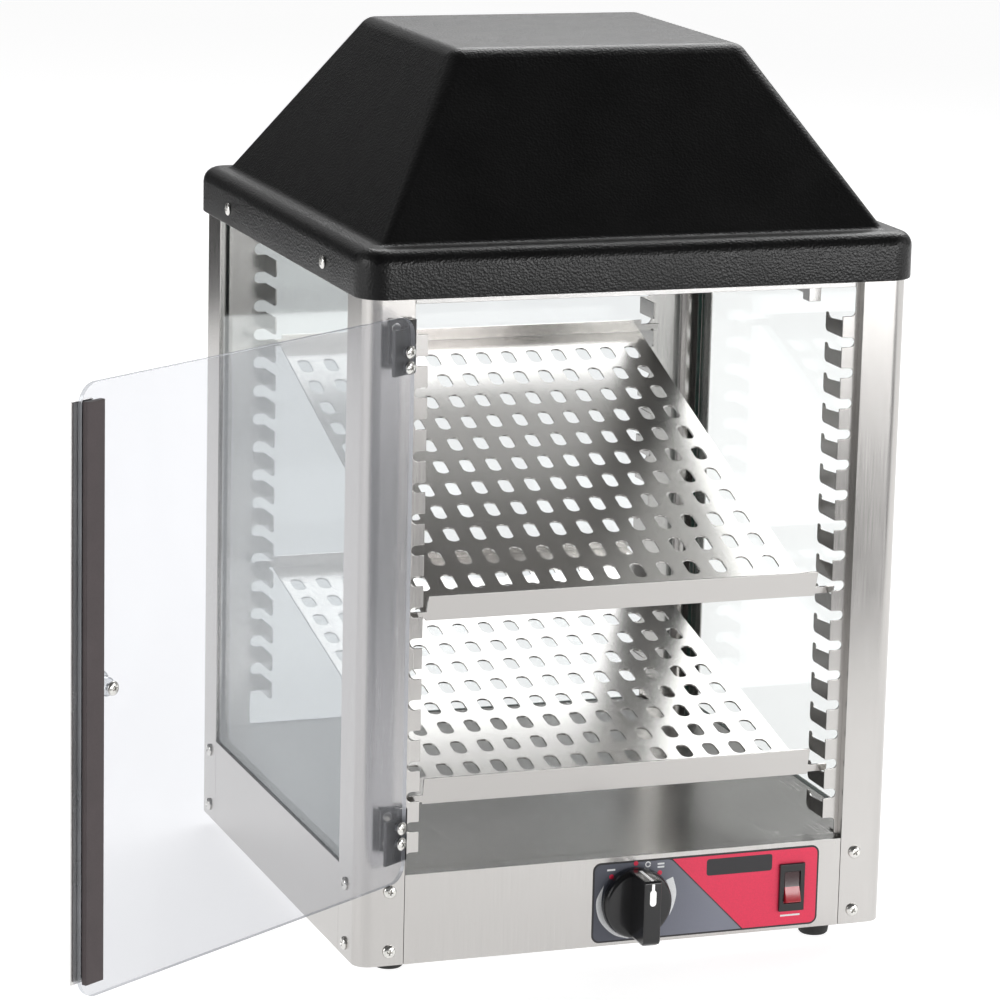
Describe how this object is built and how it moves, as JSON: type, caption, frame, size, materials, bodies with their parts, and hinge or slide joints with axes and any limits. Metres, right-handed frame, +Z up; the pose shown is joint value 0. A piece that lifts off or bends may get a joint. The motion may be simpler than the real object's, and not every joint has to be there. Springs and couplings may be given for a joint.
{
  "type": "hot food display case",
  "caption": "Counter-top hot food display case: glass-sided steel cabinet with clear hinged door, tilted perforated shelves, heated base and black hood.",
  "frame": {"origin": "centre of the cabinet's square plan, on the counter that the feet stand on", "axes": "+Z up, -Y out of the front where the door and the controls are, +X to the right of a person facing the front"},
  "size_m": [0.5612, 0.5156, 0.5431],
  "materials": {
    "stainless": "brushed along its length, satin",
    "bright_sheet": "fine mill finish, semi-bright",
    "fastener": "bright zinc plating",
    "glass": "clear float glass with green cut edges",
    "door_sheet": "clear flexible plastic sheet, slightly hazy",
    "hood_black": "thermoformed black sheet, haircell grain, semi-gloss",
    "rubber": "matte black rubber",
    "label": "printed polyester label, satin",
    "knob_black": "glossy black moulding",
    "pointer_white": "white paint filled line",
    "black_plastic": "black nylon, satin",
    "rocker_red": "dark red translucent moulding",
    "magnet": "dark brown flexible magnet strip",
    "door_knob": "clear moulded plastic",
    "element": "heat-darkened alloy sheath",
    "control_case": "dark brown phenolic",
    "terminal": "unglazed steatite",
    "wire": "white glass-braid insulation"
  },
  "bodies": {
    "cabinet": {"foot_front_left": "rubber", "foot_front_right": "rubber", "foot_rear_left": "rubber", "foot_rear_right": "rubber", "foot_screws": "fastener", "base_pan": "bright_sheet", "front_panel": "stainless", "left_base_panel": "stainless", "right_base_panel": "stainless", "rear_base_panel": "stainless", "floor_pan": "stainless", "post_front_left": "stainless", "post_front_right": "stainless", "post_rear_left": "stainless", "post_rear_right": "stainless", "post_screws": "fastener", "base_screws": "fastener", "left_glass": "glass", "right_glass": "glass", "back_glass": "glass", "rail_front_left": "stainless", "rail_front_right": "stainless", "rail_rear_left": "stainless", "rail_rear_right": "stainless", "top_liner": "bright_sheet", "sensor_bracket": "bright_sheet", "hood": "hood_black", "hood_screws": "fastener", "control_label": "label", "infinite_control": "control_case", "control_nut": "fastener", "switch_bezel": "black_plastic", "switch_body": "black_plastic", "heating_element": "element", "element_clamps": "bright_sheet", "limit_thermostat": "black_plastic", "terminal_block": "terminal", "wiring": "wire", "cord_gland": "black_plastic", "hinge_post_leaf_upper": "black_plastic", "hinge_post_leaf_lower": "black_plastic", "hinge_pin_upper": "fastener", "hinge_pin_lower": "fastener", "hinge_post_screws": "fastener"},
    "door": {"hinge_door_leaf_upper": "black_plastic", "hinge_door_leaf_lower": "black_plastic", "hinge_door_screws": "fastener", "door_pane": "door_sheet", "door_magnet": "magnet", "door_edge_strip": "bright_sheet", "door_knob": "door_knob", "door_knob_screw": "fastener"},
    "knob": {"control_knob": "knob_black", "knob_pointer": "pointer_white", "control_shaft": "fastener"},
    "rocker": {"rocker": "rocker_red"},
    "upper_shelf": {"shelf_upper": "stainless"},
    "lower_shelf": {"shelf_lower": "stainless"}
  },
  "joints": [
    {"name": "door_hinge", "type": "hinge", "parent": "cabinet", "child": "door", "pos_m": [-0.1445, -0.174, 0.235], "axis": [0, 0, 1], "range_deg": [-20, 146.64]},
    {"name": "knob_turn", "type": "hinge", "parent": "cabinet", "child": "knob", "pos_m": [0.0056, -0.171, 0.037], "axis": [0, 1, 0], "continuous": true},
    {"name": "rocker_tilt", "type": "hinge", "parent": "cabinet", "child": "rocker", "pos_m": [0.10815, -0.17, 0.03725], "axis": [1, 0, 0], "range_deg": [0, 24]},
    {"name": "upper_shelf_lift", "type": "slide", "parent": "cabinet", "child": "upper_shelf", "axis": [0, 0, 1], "range_m": [0, 0.002]},
    {"name": "lower_shelf_lift", "type": "slide", "parent": "cabinet", "child": "lower_shelf", "axis": [0, 0, 1], "range_m": [0, 0.002]}
  ]
}
